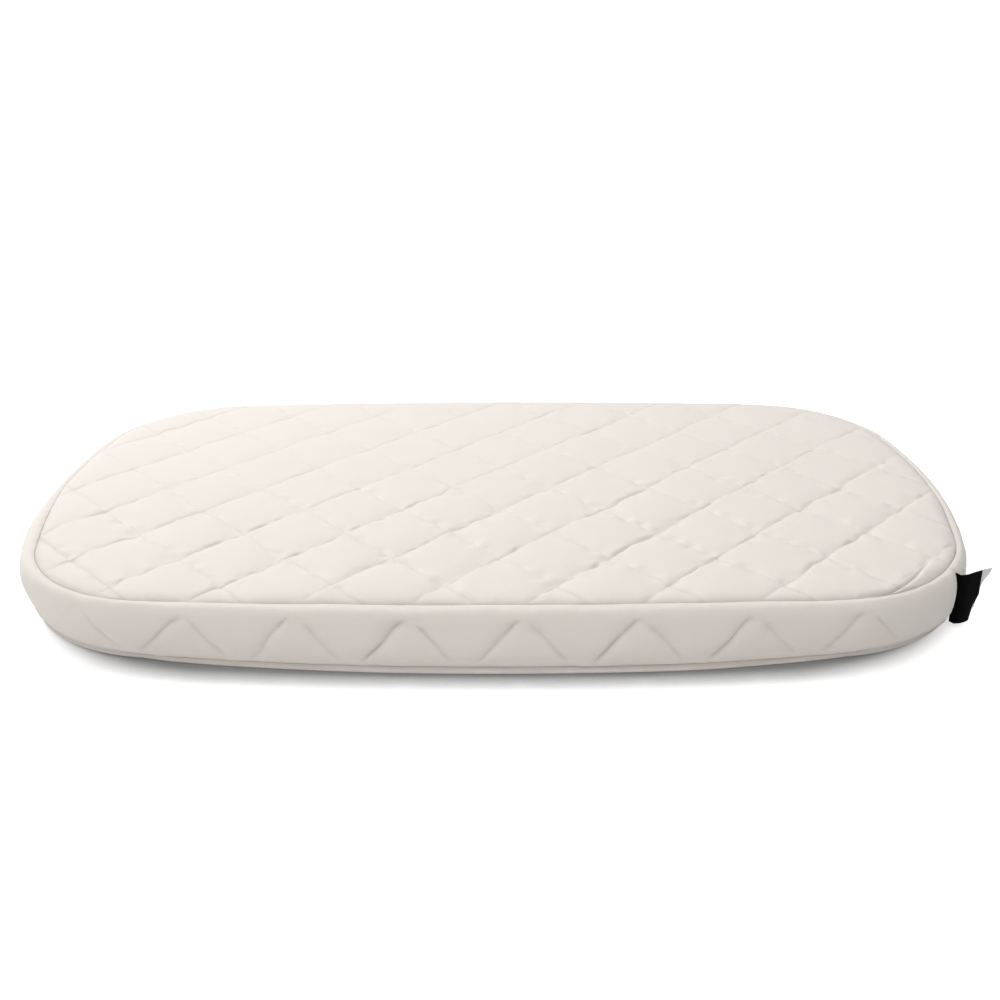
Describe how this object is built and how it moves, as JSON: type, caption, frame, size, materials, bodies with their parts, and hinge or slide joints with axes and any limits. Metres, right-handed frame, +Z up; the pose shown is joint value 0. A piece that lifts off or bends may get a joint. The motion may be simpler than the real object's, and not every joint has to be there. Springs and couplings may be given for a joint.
{
  "type": "cradle mattress",
  "caption": "Rounded cradle mattress: foam core in a diamond-quilted washable cover with a zip along its back and blank labels at a corner.",
  "frame": {"origin": "middle of the flat underside", "axes": "+X along the long side to the labelled end, -Y to the front, +Y to the back with the zip, +Z up out of the quilted top"},
  "size_m": [0.75, 0.4496, 0.05],
  "materials": {
    "quilted_cloth": "matt cream knit",
    "underside_cloth": "matt cream knit",
    "fibre_fill": "loose white fibre",
    "backing_cloth": "thin non-woven",
    "foam": "open-cell foam",
    "black_label": "woven satin",
    "white_label": "thin satin",
    "zip_tape": "woven tape",
    "zip_coil": "satin",
    "zip_metal": "brushed nickel plate"
  },
  "bodies": {
    "root": {"foam_core": "foam", "top_quilted_face": "quilted_cloth", "top_fibre_fill": "fibre_fill", "top_backing": "backing_cloth", "border_quilted_face": "quilted_cloth", "border_fibre_fill": "fibre_fill", "border_backing": "backing_cloth", "border_join_allowance": "quilted_cloth", "bottom_panel_face": "underside_cloth", "bottom_fibre_fill": "fibre_fill", "bottom_backing": "backing_cloth", "top_seam_allowance": "quilted_cloth", "bottom_seam_allowance": "underside_cloth", "side_label": "black_label", "care_label": "white_label", "zip_tape_upper": "zip_tape", "zip_tape_lower": "zip_tape", "zip_coil_upper": "zip_coil", "zip_coil_lower": "zip_coil", "zip_stop_closed": "zip_metal", "zip_stop_open": "zip_metal"},
    "zip_slider": {"zip_slider_body": "zip_metal"},
    "zip_pull": {"zip_pull_tab": "zip_metal"}
  },
  "joints": [
    {"name": "zip_slide", "type": "hinge", "parent": "root", "child": "zip_slider", "pos_m": [0, -2.775, 0.025], "axis": [0, 0, 1], "range_deg": [0, 7.55]},
    {"name": "zip_pull_hinge", "type": "hinge", "parent": "zip_slider", "child": "zip_pull", "pos_m": [0.19768, 0.21928, 0.025], "axis": [0, 0, -1], "range_deg": [0, 180]}
  ]
}
